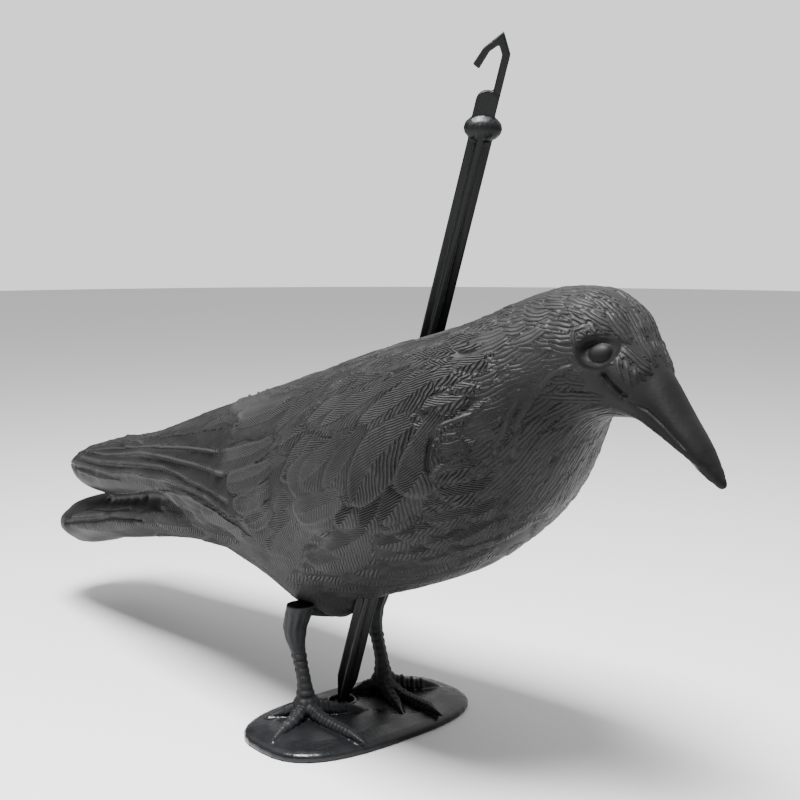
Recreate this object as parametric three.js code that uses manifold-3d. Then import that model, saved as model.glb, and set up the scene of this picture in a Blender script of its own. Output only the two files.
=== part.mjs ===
// A life-size garden crow decoy in dark plastic: a blow-moulded bird, a moulded base with two legs,
// and a moulded rod with a hook that passes down through the bird's back and belly into the base.
// Millimetres, +Z up. The origin is the middle of the base's underside, +X is where the bird faces
// and +Y is the bird's left.
import * as THREE from "three";
import { mergeVertices } from "three/addons/utils/BufferGeometryUtils.js";
import Module from "manifold-3d";

const wasm = await Module();
wasm.setup();

// Clearance between pieces that touch.
const GAP = 0.3;

// The body's cross sections from wing tips to bill tip. Each row gives the place along X, the height
// of the back line and of the belly line, half the width, how far up the widest level is, and how
// square the upper and lower halves are (2 is an ellipse, less is more like a keel).
const BODY_SECTIONS = [
  { x: -217, top: 81, bottom: 75.5, half: 10, widest: 0.5, upper: 2, lower: 2 },
  { x: -211, top: 84.5, bottom: 71.5, half: 17, widest: 0.5, upper: 2, lower: 2 },
  { x: -195, top: 90.5, bottom: 67.5, half: 23, widest: 0.45, upper: 2, lower: 2.2 },
  { x: -165, top: 98.5, bottom: 68.5, half: 28, widest: 0.4, upper: 2, lower: 2.4 },
  { x: -130, top: 106.5, bottom: 74.5, half: 33.5, widest: 0.36, upper: 2, lower: 2.4 },
  { x: -95, top: 117.8, bottom: 79, half: 37.5, widest: 0.36, upper: 2, lower: 2.4 },
  { x: -60, top: 129.8, bottom: 58.5, half: 40, widest: 0.45, upper: 2, lower: 1.9 },
  { x: -35, top: 138, bottom: 48, half: 41, widest: 0.5, upper: 2, lower: 1.6 },
  { x: -15, top: 144, bottom: 40, half: 42.5, widest: 0.52, upper: 2, lower: 1.5 },
  { x: 10, top: 152, bottom: 53.5, half: 46, widest: 0.52, upper: 2, lower: 1.7 },
  { x: 40, top: 160.5, bottom: 65.5, half: 49, widest: 0.5, upper: 2, lower: 1.9 },
  { x: 65, top: 167, bottom: 76.5, half: 49.5, widest: 0.5, upper: 2, lower: 2 },
  { x: 85, top: 173.5, bottom: 91, half: 46, widest: 0.5, upper: 2, lower: 2 },
  { x: 100, top: 180, bottom: 104.5, half: 35, widest: 0.5, upper: 2, lower: 1.8 },
  { x: 113, top: 183, bottom: 123.5, half: 25.5, widest: 0.55, upper: 2, lower: 1.7 },
  { x: 124, top: 183, bottom: 139.5, half: 21.5, widest: 0.56, upper: 2, lower: 1.9 },
  { x: 134, top: 178, bottom: 142.5, half: 18.5, widest: 0.54, upper: 2, lower: 2 },
  { x: 142, top: 168.5, bottom: 142, half: 13.5, widest: 0.48, upper: 2, lower: 2 },
  { x: 148, top: 160.5, bottom: 138.5, half: 9, widest: 0.45, upper: 2, lower: 2 },
  { x: 152, top: 156, bottom: 136.5, half: 8, widest: 0.45, upper: 1.9, lower: 2 },
  { x: 158, top: 147.5, bottom: 133.5, half: 7.2, widest: 0.45, upper: 1.9, lower: 2 },
  { x: 166, top: 138, bottom: 128, half: 5, widest: 0.48, upper: 1.9, lower: 2 },
  { x: 173, top: 126.8, bottom: 124, half: 1.6, widest: 0.5, upper: 2, lower: 2 },
];
const BODY_COLUMNS = 32;
const BODY_STEP = 6;
const HEAD_START = 100;
const HEAD_STEP = 3.5;

// The tail, which starts inside the body and ends behind the wing tips.
const TAIL_SECTIONS = [
  { x: -231, top: 50, bottom: 40, half: 11, widest: 0.5, upper: 2, lower: 2 },
  { x: -226, top: 54.5, bottom: 35.8, half: 18, widest: 0.5, upper: 2, lower: 2 },
  { x: -212, top: 60, bottom: 34.6, half: 24, widest: 0.5, upper: 2, lower: 2.2 },
  { x: -185, top: 65, bottom: 42, half: 27.5, widest: 0.5, upper: 2, lower: 2.4 },
  { x: -165, top: 71, bottom: 46.5, half: 29, widest: 0.48, upper: 2.1, lower: 2.4 },
  { x: -150, top: 75.5, bottom: 49.4, half: 30.5, widest: 0.48, upper: 2.1, lower: 2.4 },
  { x: -115, top: 86, bottom: 56.6, half: 32, widest: 0.48, upper: 2.1, lower: 2.4 },
  { x: -80, top: 93, bottom: 60.2, half: 32.5, widest: 0.48, upper: 2.1, lower: 2.2 },
  { x: -55, top: 95, bottom: 59.5, half: 31, widest: 0.48, upper: 2, lower: 2 },
];
const TAIL_COLUMNS = 20;
const TAIL_STEP = 11;

// Carving that shows from a step away.
const WING_EDGE = 1.2;
const QUILL_RELIEF = 0.7;
const COVERT_LENGTH = 21;
const COVERT_RELIEF = 0.9;
const GAPE_DEPTH = 0.8;
const SOCKET_DEPTH = 1.6;
const EYE = { x: 136.3, y: 15.3, z: 165, radius: 3.3, socket: 6.5 };

// The base plate is a rounded oblong, longer across the bird than along it.
const BASE = { long: 100, deep: 57.5, thick: 5, round: 2.8, edge: 2.6, crown: 1 };
const BASE_SIDES = 38;

// The legs stand either side of the middle. Each row is a height, how far forward, and a radius.
const LEG_SPREAD = 20.5;
const LEG_SECTIONS = [
  { z: 3, x: -9, radius: 4.6 },
  { z: 8, x: -8.9, radius: 5 },
  { z: 13, x: -9.2, radius: 3.9 },
  { z: 19, x: -10.1, radius: 2.9 },
  { z: 25, x: -12, radius: 2.8 },
  { z: 31, x: -14, radius: 3.3 },
  { z: 38, x: -16.2, radius: 4.8 },
  { z: 46, x: -13.4, radius: 5.6 },
  { z: 50.7, x: -11.8, radius: 5.8 },
];
const LEG_SIDES = 10;
const SHANK = { low: 9, high: 30 };
const SCUTE = { pitch: 2.8, relief: 0.3 };

// Toes leave the ankle at these angles from straight ahead, with these lengths, and some stand
// taller than they are wide. The right foot's third toe stands further out than the left foot's.
const TOES = [
  { right: -1, left: -1, length: 38, tall: 1 },
  { right: 60, left: 60, length: 24.5, tall: 1.5 },
  { right: -64, left: -24, length: 28.5, tall: 1 },
  { right: -120, left: -120, length: 16, tall: 1.2 },
];
const TOE = { root: 3, tip: 1.9, claw: 7, pitch: 4.2, relief: 0.4, sides: 6, rise: 1 };

// The strip that joins the tops of the legs under the belly, let into the belly's underside.
const STRIP = { back: -24, front: -13, half: 17, thick: 3.2, low: 40.6, high: 45 };

// The rod leans forward and is turned so that its flats face forward and to the side.
const ROD = { foot: -13.3, lean: 19.26, turn: 45, start: 1 };
const ARM = { half: 4.2, thick: 2.2, point: 16.5, blunt: 0.8 };
const STOP = { at: 249.2, across: 6.8, along: 4.8, through: 4.4, tilt: 10 };
const TAB = { top: 262.2, half: 3.9, shift: -0.8, thick: 3.2 };
const HOOK = { thick: 2.8, root: 249, left: 0.4, right: 3.1, bend: 275.4, apex: 282.2 };

// Holes.
const BACK_HOLE = 6.4;
const BASE_HOLE = { radius: 5.2, rim: 1.2, rise: 0.6, ahead: 1.6 };

const PLASTIC = { color: 0x2b2c2e, roughness: 0.55, metalness: 0 };
const ROD_PLASTIC = { color: 0x161719, roughness: 0.42, metalness: 0 };
const BASE_PLASTIC = { color: 0x1e1f21, roughness: 0.32, metalness: 0 };

const rad = THREE.MathUtils.degToRad;
const { clamp, smoothstep } = THREE.MathUtils;

// A size from a list of sections at any place, along smooth curves that never overshoot.
function sizeAt(sections, key, place, name) {
  const count = sections.length;
  const slopes = [];
  for (let i = 0; i < count - 1; i += 1) {
    const rise = sections[i + 1][name] - sections[i][name];
    slopes.push(rise / (sections[i + 1][key] - sections[i][key]));
  }
  const tangent = (i) => {
    if (i === 0) return slopes[0];
    if (i === count - 1) return slopes[count - 2];
    const before = slopes[i - 1];
    const after = slopes[i];
    return before * after > 0 ? (2 * before * after) / (before + after) : 0;
  };
  let i = 0;
  while (i < count - 2 && place > sections[i + 1][key]) i += 1;
  const span = sections[i + 1][key] - sections[i][key];
  const t = clamp((place - sections[i][key]) / span, 0, 1);
  const from = sections[i][name];
  const to = sections[i + 1][name];
  const bend = (2 * t * t * t - 3 * t * t + 1) * from + (3 * t * t - 2 * t * t * t) * to;
  const pull = (t * t * t - 2 * t * t + t) * tangent(i) + (t * t * t - t * t) * tangent(i + 1);
  return bend + span * pull;
}

// One cross section as a ring of points, with the carving added outwards.
function sectionRing(sections, x, columns, carve) {
  const size = (name) => sizeAt(sections, "x", x, name);
  const level = size("bottom") + (size("top") - size("bottom")) * size("widest");
  const ring = [];
  for (let i = 0; i < columns; i += 1) {
    const angle = (2 * Math.PI * i) / columns;
    const side = Math.cos(angle);
    const up = Math.sin(angle);
    const power = 2 / (up >= 0 ? size("upper") : size("lower"));
    const reach = up >= 0 ? size("top") - level : level - size("bottom");
    const y = size("half") * Math.sign(side) * Math.abs(side) ** power;
    const z = level + reach * Math.sign(up) * Math.abs(up) ** power;
    const out = carve(x, angle, y, z, i);
    ring.push(new THREE.Vector3(x, y + out * side, z + out * up));
  }
  return ring;
}

// A closed skin over rings with the same number of points, ended by a point in each end.
function skinRings(rings) {
  const columns = rings[0].length;
  const positions = [];
  const faces = [];
  for (const ring of rings) {
    for (const point of ring) positions.push(point.x, point.y, point.z);
  }
  for (let r = 0; r < rings.length - 1; r += 1) {
    for (let c = 0; c < columns; c += 1) {
      const a = r * columns + c;
      const b = r * columns + ((c + 1) % columns);
      faces.push(a, a + columns, b, b, a + columns, b + columns);
    }
  }
  const addEnd = (ring, first, turned) => {
    const middle = new THREE.Vector3();
    for (const point of ring) middle.addScaledVector(point, 1 / columns);
    const centre = positions.length / 3;
    positions.push(middle.x, middle.y, middle.z);
    for (let c = 0; c < columns; c += 1) {
      const a = first + c;
      const b = first + ((c + 1) % columns);
      faces.push(centre, ...(turned ? [b, a] : [a, b]));
    }
  };
  addEnd(rings[0], 0, false);
  addEnd(rings[rings.length - 1], (rings.length - 1) * columns, true);
  const geometry = new THREE.BufferGeometry();
  geometry.setAttribute("position", new THREE.Float32BufferAttribute(positions, 3));
  geometry.setIndex(faces);
  return geometry;
}

// A geometry as a solid that can be cut and joined. A skin that came out inside out is turned.
function solid(geometry, matrix = new THREE.Matrix4()) {
  const bare = geometry.clone();
  bare.applyMatrix4(matrix);
  for (const name of Object.keys(bare.attributes)) {
    if (name !== "position") bare.deleteAttribute(name);
  }
  const merged = mergeVertices(bare, 1e-4);
  const vertProperties = new Float32Array(merged.attributes.position.array);
  const triVerts = new Uint32Array(merged.index.array);
  if (signedVolume(vertProperties, triVerts) < 0) triVerts.reverse();
  return new wasm.Manifold(new wasm.Mesh({ numProp: 3, vertProperties, triVerts }));
}

function signedVolume(points, faces) {
  let total = 0;
  for (let i = 0; i < faces.length; i += 3) {
    const [a, b, c] = [0, 1, 2].map((k) => new THREE.Vector3().fromArray(points, faces[i + k] * 3));
    total += a.dot(b.cross(c)) / 6;
  }
  return total;
}

function geometryOf(shape) {
  const mesh = shape.getMesh();
  const geometry = new THREE.BufferGeometry();
  geometry.setAttribute("position", new THREE.Float32BufferAttribute(mesh.vertProperties, 3));
  geometry.setIndex(Array.from(mesh.triVerts));
  geometry.computeVertexNormals();
  return geometry;
}

// Places from one end to the other in equal steps no longer than the given one.
function steps(from, to, step) {
  const count = Math.ceil((to - from) / step);
  return Array.from({ length: count + 1 }, (_, i) => from + ((to - from) * i) / count);
}

// How much a place is inside a band, with soft edges of the given width.
function band(value, low, high, soft) {
  return smoothstep(value, low - soft, low) * (1 - smoothstep(value, high, high + soft));
}

// The lower border of the folded wing, as a height along the bird.
function wingBorder(x) {
  return 62 + 21 * smoothstep(x, -190, -45) + 42 * smoothstep(x, 10, 100);
}

// The folded wing stands proud of the flank, with rows of coverts and long quills behind them.
function wingRelief(x, angle, z, column) {
  const onWing = smoothstep(z, wingBorder(x) - 2, wingBorder(x) + 3) * band(x, -250, 82, 16);
  const edge = WING_EDGE * smoothstep(Math.abs(Math.cos(angle)), 0.2, 0.8);
  const quill = (column % 2 === 0 ? 1 : -1) * QUILL_RELIEF * band(x, -205, -75, 18);
  const stagger = (column % 2 === 0 ? 0 : 0.5) + 0.35 * Math.sin(angle);
  const row = x / COVERT_LENGTH + stagger;
  const covert = COVERT_RELIEF * (row - Math.floor(row) - 0.5) * band(x, -60, 70, 12);
  return onWing * (edge + quill + covert);
}

// The line where the two wings meet over the tail.
function wingParting(x, angle) {
  const nearTop = smoothstep(Math.sin(angle), 0.9, 1);
  return -1.4 * nearTop * band(x, -230, -110, 40);
}

// The closed bill's parting line, and the hollow around the eye.
function headRelief(x, z) {
  const gape = 146 - (x - 136) * 0.53;
  const split = -GAPE_DEPTH * band(x, 137, 169, 3) * (1 - smoothstep(Math.abs(z - gape), 0.4, 1.6));
  const away = Math.hypot(x - EYE.x, z - EYE.z);
  return split - SOCKET_DEPTH * (1 - smoothstep(away, EYE.radius, EYE.socket));
}

function bodyCarving(x, angle, y, z, column) {
  return x < HEAD_START ? wingRelief(x, angle, z, column) + wingParting(x, angle) : headRelief(x, z);
}

// Two long grooves run down each side of the tail.
function tailCarving(x, angle, y, z, column) {
  return column % 4 === 0 ? -0.7 * band(x, -222, -110, 8) : 0;
}

function eyeball(side) {
  const place = new THREE.Matrix4().makeTranslation(EYE.x, side * (EYE.y - EYE.radius), EYE.z);
  return solid(new THREE.SphereGeometry(EYE.radius, 12, 7), place);
}

// The rod's own frame: length up, across towards the bird's front left, and thickness.
function rodFrame() {
  const lean = new THREE.Matrix4().makeRotationY(rad(ROD.lean));
  const turn = new THREE.Matrix4().makeRotationZ(rad(ROD.turn));
  const place = new THREE.Matrix4().makeTranslation(ROD.foot, 0, 0);
  return place.multiply(lean).multiply(turn);
}

function rodHole(radius, from, to, sides = 20) {
  const hole = new THREE.CylinderGeometry(radius, radius, to - from, sides);
  hole.rotateX(Math.PI / 2);
  hole.translate(0, 0, (from + to) / 2);
  return solid(hole, rodFrame());
}

// The strip under the belly is a bent band. Grown by the gap and dropped, it also cuts its own seat.
function hipStrip(grow, drop) {
  const { half } = STRIP;
  const under = (y) => STRIP.low + (STRIP.high - STRIP.low) * (Math.abs(y) / half) ** 1.25;
  const shape = new THREE.Shape();
  const across = steps(-half - grow, half + grow, 5);
  shape.moveTo(across[0], under(across[0]) - drop);
  for (const y of across.slice(1)) shape.lineTo(y, under(y) - drop);
  for (const y of across.reverse()) shape.lineTo(y, under(y) + STRIP.thick + grow);
  const depth = STRIP.front - STRIP.back + 2 * grow;
  const strip = new THREE.ExtrudeGeometry(shape, { depth, bevelEnabled: false });
  const upright = new THREE.Matrix4().makeBasis(
    new THREE.Vector3(0, 1, 0),
    new THREE.Vector3(0, 0, 1),
    new THREE.Vector3(1, 0, 0),
  );
  const place = new THREE.Matrix4().makeTranslation(STRIP.back - grow, 0, 0);
  return solid(strip, place.multiply(upright));
}

function legRings(side, grow) {
  const rings = [];
  const foot = LEG_SECTIONS[0].z;
  const hip = LEG_SECTIONS[LEG_SECTIONS.length - 1].z;
  const heights = [foot, ...steps(SHANK.low, SHANK.high, SCUTE.pitch / 2), ...steps(35, hip, 5.3)];
  for (const z of heights) {
    const ringed = z >= SHANK.low && z <= SHANK.high ? SCUTE.relief : 0;
    const scute = ringed * Math.cos((2 * Math.PI * (z - SHANK.low)) / SCUTE.pitch);
    const radius = sizeAt(LEG_SECTIONS, "z", z, "radius") + scute + grow;
    const x = sizeAt(LEG_SECTIONS, "z", z, "x");
    const ring = [];
    for (let i = 0; i < LEG_SIDES; i += 1) {
      const angle = (2 * Math.PI * i) / LEG_SIDES;
      const y = side * LEG_SPREAD + radius * Math.sin(angle);
      ring.push(new THREE.Vector3(x + radius * Math.cos(angle), y, z));
    }
    rings.push(ring);
  }
  return rings;
}

// A toe arches down from the ankle to the base and ends in a claw.
function toe(side, { right, left, length, tall }) {
  const turn = side < 0 ? right : left;
  const rings = [];
  const ahead = new THREE.Vector3(Math.cos(rad(turn)), Math.sin(rad(turn)), 0);
  const beside = new THREE.Vector3(-ahead.y, ahead.x, 0);
  const ankle = new THREE.Vector3(LEG_SECTIONS[0].x, side * LEG_SPREAD, 0);
  for (const along of steps(0, length, TOE.pitch / 2)) {
    const knuckles = length - TOE.claw;
    const claw = clamp((along - knuckles) / TOE.claw, 0, 1);
    const thick = THREE.MathUtils.lerp(TOE.root, TOE.tip, clamp(along / knuckles, 0, 1));
    const rib = claw > 0 ? 0 : TOE.relief * Math.cos((2 * Math.PI * along) / TOE.pitch);
    const radius = (thick + rib) * (1 - 0.75 * claw);
    const lift = BASE.thick + TOE.rise + 4 * (1 - clamp(along / 14, 0, 1)) ** 1.5;
    const centre = ankle.clone().addScaledVector(ahead, along);
    centre.z = lift - 0.9 * claw;
    const ring = [];
    for (let i = 0; i < TOE.sides; i += 1) {
      const angle = (2 * Math.PI * i) / TOE.sides;
      const point = centre.clone().addScaledVector(beside, radius * Math.cos(angle));
      point.z += radius * tall * Math.sin(angle);
      ring.push(point);
    }
    rings.push(ring);
  }
  return solid(skinRings(rings));
}

// Half the plate's depth and length at an angle, as a rounded oblong.
function oblong(angle, inset) {
  const power = 2 / BASE.round;
  const side = Math.cos(angle);
  const ahead = Math.sin(angle);
  const y = (BASE.long / 2 - inset) * Math.sign(side) * Math.abs(side) ** power;
  const x = (BASE.deep / 2 - inset) * Math.sign(ahead) * Math.abs(ahead) ** power;
  return new THREE.Vector2(x, y);
}

function basePlate() {
  const levels = [
    { inset: 0.6, z: 0 },
    { inset: 0, z: 0.8 },
    { inset: 0, z: 2 },
    { inset: 0.25 * BASE.edge, z: 3.1 },
    { inset: BASE.edge, z: BASE.thick - BASE.crown },
    { inset: 3.5 * BASE.edge, z: BASE.thick },
  ];
  const rings = [];
  for (const { inset, z } of levels) {
    const ring = [];
    for (let i = 0; i < BASE_SIDES; i += 1) {
      const spot = oblong((2 * Math.PI * i) / BASE_SIDES, inset);
      ring.push(new THREE.Vector3(spot.x, spot.y, z));
    }
    rings.push(ring);
  }
  return solid(skinRings(rings));
}

function makeBody() {
  const last = BODY_SECTIONS[BODY_SECTIONS.length - 1].x;
  const places = steps(BODY_SECTIONS[0].x, HEAD_START, BODY_STEP);
  places.push(...steps(HEAD_START, last, HEAD_STEP).slice(1));
  const rings = places.map((x) => sectionRing(BODY_SECTIONS, x, BODY_COLUMNS, bodyCarving));
  const tailEnd = TAIL_SECTIONS[TAIL_SECTIONS.length - 1].x;
  const tailPlaces = steps(TAIL_SECTIONS[0].x, tailEnd, TAIL_STEP);
  const tail = tailPlaces.map((x) => sectionRing(TAIL_SECTIONS, x, TAIL_COLUMNS, tailCarving));
  let body = solid(skinRings(rings)).add(solid(skinRings(tail)));
  body = body.add(eyeball(1)).add(eyeball(-1));
  body = body.subtract(hipStrip(GAP, 8));
  for (const side of [-1, 1]) body = body.subtract(solid(skinRings(legRings(side, GAP))));
  return body.subtract(rodHole(BACK_HOLE, 20, 220));
}

function makeLegsAndBase() {
  let base = basePlate();
  const boss = new THREE.CylinderGeometry(
    BASE_HOLE.radius + BASE_HOLE.rim,
    BASE_HOLE.radius + BASE_HOLE.rim + 0.6,
    BASE_HOLE.rise + 2,
    22,
  );
  boss.rotateX(Math.PI / 2);
  const holeAt = ROD.foot + BASE_HOLE.ahead;
  boss.translate(holeAt, 0, BASE.thick + BASE_HOLE.rise - (BASE_HOLE.rise + 2) / 2);
  base = base.add(solid(boss));
  for (const side of [-1, 1]) {
    base = base.add(solid(skinRings(legRings(side, 0))));
    for (const item of TOES) base = base.add(toe(side, item));
  }
  base = base.add(hipStrip(0, 0));
  const hole = new THREE.CylinderGeometry(BASE_HOLE.radius, BASE_HOLE.radius, 30, 22);
  hole.rotateX(Math.PI / 2);
  hole.translate(holeAt, 0, 0);
  return base.subtract(solid(hole));
}

// The rod's section is a cross; both arms taper to the blunt point.
function rodShaft() {
  const rings = [];
  const spots = [
    { s: ROD.start, k: ARM.blunt / ARM.half },
    { s: ROD.start + ARM.point, k: 1 },
    { s: STOP.at, k: 1 },
  ];
  const { half } = ARM;
  for (const { s, k } of spots) {
    const t = (ARM.thick / 2) * (0.6 + 0.4 * k);
    const a = half * k;
    const corners = [
      [a, t], [t, t], [t, a], [-t, a], [-t, t], [-a, t],
      [-a, -t], [-t, -t], [-t, -a], [t, -a], [t, -t], [a, -t],
    ];
    rings.push(corners.map(([p, q]) => new THREE.Vector3(p, q, s)));
  }
  return solid(skinRings(rings), rodFrame());
}

// A flat plate cut from an outline of places across and along the rod.
function rodPlate(shape, thick) {
  const plate = new THREE.ExtrudeGeometry(shape, { depth: thick, bevelEnabled: false, curveSegments: 8 });
  plate.translate(0, 0, -thick / 2);
  plate.rotateX(Math.PI / 2);
  return solid(plate, rodFrame());
}

function makeRod() {
  const stop = new THREE.SphereGeometry(1, 16, 9);
  stop.scale(STOP.across, STOP.through, STOP.along);
  stop.rotateY(rad(-STOP.tilt));
  stop.translate(0, 0, STOP.at);
  const tab = new THREE.Shape();
  tab.moveTo(TAB.shift - TAB.half, STOP.at);
  tab.lineTo(TAB.shift + TAB.half, STOP.at);
  tab.lineTo(TAB.shift + TAB.half, TAB.top - TAB.half);
  tab.absarc(TAB.shift, TAB.top - TAB.half, TAB.half, 0, Math.PI, false);
  tab.closePath();
  const hook = new THREE.Shape();
  const outline = [
    [HOOK.right, HOOK.root], [HOOK.right, HOOK.bend], [-0.9, HOOK.apex], [-6.3, HOOK.bend],
    [-8.5, HOOK.bend - 5.9], [-6.1, HOOK.bend - 7], [-4, HOOK.bend - 0.6], [-1.4, HOOK.apex - 4.6],
    [HOOK.left, HOOK.bend - 0.8], [HOOK.left, HOOK.root],
  ];
  hook.moveTo(...outline[0]);
  for (const spot of outline.slice(1)) hook.lineTo(...spot);
  hook.closePath();
  let rod = rodShaft().add(solid(stop, rodFrame()));
  rod = rod.add(rodPlate(tab, TAB.thick));
  return rod.add(rodPlate(hook, HOOK.thick));
}

const decoy = new THREE.Group();

function addPiece(name, shape, look) {
  const mesh = new THREE.Mesh(geometryOf(shape), new THREE.MeshStandardMaterial(look));
  mesh.name = name;
  decoy.add(mesh);
}

addPiece("bird_body", makeBody(), PLASTIC);
addPiece("legs_and_base", makeLegsAndBase(), BASE_PLASTIC);
addPiece("stake_rod", makeRod(), ROD_PLASTIC);

export default decoy;
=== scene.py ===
import math
import random

import bmesh
import bpy
import numpy as np
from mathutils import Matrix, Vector
from mathutils.bvhtree import BVHTree
from mathutils.kdtree import KDTree


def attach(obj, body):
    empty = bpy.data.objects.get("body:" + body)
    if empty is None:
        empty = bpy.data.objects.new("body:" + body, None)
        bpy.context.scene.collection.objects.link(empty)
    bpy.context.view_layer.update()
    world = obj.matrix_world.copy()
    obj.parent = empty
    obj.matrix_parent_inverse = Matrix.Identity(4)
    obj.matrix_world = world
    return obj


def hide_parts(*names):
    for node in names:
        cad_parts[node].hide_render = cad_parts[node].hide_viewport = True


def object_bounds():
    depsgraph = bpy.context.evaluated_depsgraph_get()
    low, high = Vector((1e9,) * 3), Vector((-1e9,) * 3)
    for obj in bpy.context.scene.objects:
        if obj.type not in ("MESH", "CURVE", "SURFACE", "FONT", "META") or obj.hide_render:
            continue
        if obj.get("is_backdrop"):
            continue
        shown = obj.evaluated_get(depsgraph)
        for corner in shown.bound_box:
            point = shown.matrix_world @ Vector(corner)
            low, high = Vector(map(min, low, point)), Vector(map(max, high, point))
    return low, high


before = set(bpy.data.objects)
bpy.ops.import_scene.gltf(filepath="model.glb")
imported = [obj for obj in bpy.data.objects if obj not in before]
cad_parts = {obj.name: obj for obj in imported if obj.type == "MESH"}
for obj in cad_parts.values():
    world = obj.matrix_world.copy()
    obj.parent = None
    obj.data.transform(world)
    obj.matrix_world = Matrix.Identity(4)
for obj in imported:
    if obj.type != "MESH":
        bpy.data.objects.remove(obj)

cad_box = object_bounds()


# Bird body
# The decoy's body is one hollow blow-moulded polyethylene shell, the same on both sides. Its
# feathers, eyes and bill are cut into the mould.
MM = 0.001
MERGE_REACH = 0.002 * MM
SHELL_GRAIN = 2.0 * MM
RELAX_PULL = 0.6
RELAX_PUSH = -0.62
RELAX_ROUNDS = 44
HOLD_ROUNDS = 14
HOLD_PASSES = 2


def rising(value, start, reach):
    """From 0 at the start to 1 a reach further up."""
    return np.clip((value - start) / reach, 0, 1)


def falling(value, end, reach):
    """From 1 a reach before the end down to 0 there."""
    return np.clip((end - value) / reach, 0, 1)


def corner_points(mesh):
    """The mesh's vertices as rows of x, y and z."""
    points = np.empty(len(mesh.vertices) * 3)
    mesh.vertices.foreach_get("co", points)
    return points.reshape(-1, 3)


def normals_of(mesh):
    """The mesh's vertex normals as rows of x, y and z."""
    normals = np.empty(len(mesh.vertices) * 3, np.float32)
    mesh.vertex_normals.foreach_get("vector", normals)
    return normals.reshape(-1, 3).astype(float)


def neighbour_mean(mesh, values):
    """For every vertex, the mean of the values of those it is joined to."""
    ends = np.empty(len(mesh.edges) * 2, np.int64)
    mesh.edges.foreach_get("vertices", ends)
    first, second = ends.reshape(-1, 2).T
    total = np.empty_like(values)
    for axis in range(3):
        total[:, axis] = np.bincount(first, values[second, axis], len(values))
        total[:, axis] += np.bincount(second, values[first, axis], len(values))
    return total / np.bincount(ends, minlength=len(values))[:, None]


def relax(mesh, rounds, where=1.0):
    """Smooths the mesh without shrinking it, by pulling its points together and back again."""
    points = corner_points(mesh)
    for turn in range(rounds):
        pull = RELAX_PULL if turn % 2 == 0 else RELAX_PUSH
        points += where * pull * (neighbour_mean(mesh, points) - points)
    mesh.vertices.foreach_set("co", points.ravel())
    mesh.update()


def hold_form(mesh, solid, rounds, where=None):
    """Moves the smoothed skin back out to the solid's form, but not back into its facets."""
    corners = [vertex.co for vertex in solid.vertices]
    facets = BVHTree.FromPolygons(corners, [list(facet.vertices) for facet in solid.polygons])
    points = corner_points(mesh)
    offsets = np.array([facets.find_nearest(point)[0] for point in points]) - points
    for turn in range(rounds):
        offsets = (offsets + neighbour_mean(mesh, offsets)) / 2
    if where is not None:
        offsets *= where(points / MM)[:, None]
    mesh.vertices.foreach_set("co", (points + offsets).ravel())
    mesh.update()


def copied_solid(node, name):
    """A merged copy of one of the frame's solids, as a new object."""
    solid = bmesh.new()
    solid.from_mesh(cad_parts[node].data)
    bmesh.ops.remove_doubles(solid, verts=solid.verts, dist=MERGE_REACH)
    mesh = bpy.data.meshes.new(name)
    solid.to_mesh(mesh)
    solid.free()
    copy = bpy.data.objects.new(name, mesh)
    bpy.context.scene.collection.objects.link(copy)
    return copy


def even_skin(copy, grain):
    """Gives the object one closed even skin of small quads."""
    remesh = copy.modifiers.new("even_skin", "REMESH")
    remesh.mode = "VOXEL"
    remesh.voxel_size = grain
    shaped = copy.evaluated_get(bpy.context.evaluated_depsgraph_get())
    skin = bpy.data.meshes.new_from_object(shaped)
    copy.modifiers.clear()
    copy.data = skin
    return skin


def refine(mesh, chosen, rounds):
    """Divides the chosen faces into quarters and eases the new points into the surface."""
    form = bmesh.new()
    form.from_mesh(mesh)
    form.faces.ensure_lookup_table()
    edges = {edge for index in np.nonzero(chosen)[0] for edge in form.faces[index].edges}
    bmesh.ops.subdivide_edges(form, edges=list(edges), cuts=1, use_grid_fill=True)
    form.to_mesh(mesh)
    form.free()
    relax(mesh, rounds)


body = copied_solid("bird_body", "bird_shell")
solid_body = body.data.copy()
skin = even_skin(body, SHELL_GRAIN)
relax(skin, RELAX_ROUNDS)
for turn in range(HOLD_PASSES):
    hold_form(skin, solid_body, HOLD_ROUNDS)

# The bird's girth: at each place along it, the heights of its back, belly and widest line and its
# half width. A place on the bird is how far forward it is in millimetres and its turn in degrees
# round the girth, from the widest line at 0 up to the back at 90 and down to the belly at -90.
GIRTH_ENDS = (-215, 173)
SLICE = 3.0
SLICE_REACH = 2.5
NEARLY_WIDEST = 0.97
WING_TIP_UNDERSIDE = ((-217, 75), (-195, 67), (-165, 70), (-130, 77), (-108, 81), (-76, 84))
WING_TIP_END = -76


def measured_girth(points):
    """Rows of x, back, belly, widest level and half width, along the bird from tail to bill."""
    rows = []
    for x in np.arange(*GIRTH_ENDS, SLICE):
        near = points[np.abs(points[:, 0] - x) < SLICE_REACH]
        if x < WING_TIP_END:
            underside = np.interp(x, *zip(*WING_TIP_UNDERSIDE))
            near = near[near[:, 2] > underside]
        half = np.abs(near[:, 1]).max()
        widest = near[np.abs(near[:, 1]) > NEARLY_WIDEST * half]
        rows.append((x, near[:, 2].max(), near[:, 2].min(), widest[:, 2].mean(), half))
    rows = np.array(rows)
    rows[1:-1, 1:] = (rows[:-2, 1:] + 2 * rows[1:-1, 1:] + rows[2:, 1:]) / 4
    return rows


girth = measured_girth(corner_points(skin) / MM)


def girth_at(x):
    """The back, belly and widest heights and half width at a place along the bird."""
    return [np.interp(x, girth[:, 0], girth[:, column]) for column in range(1, 5)]


def radius_at(x):
    """The mean radius of the girth at a place along the bird."""
    back, belly, _, half = girth_at(x)
    return (half + (back - belly) / 2) / 2


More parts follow.
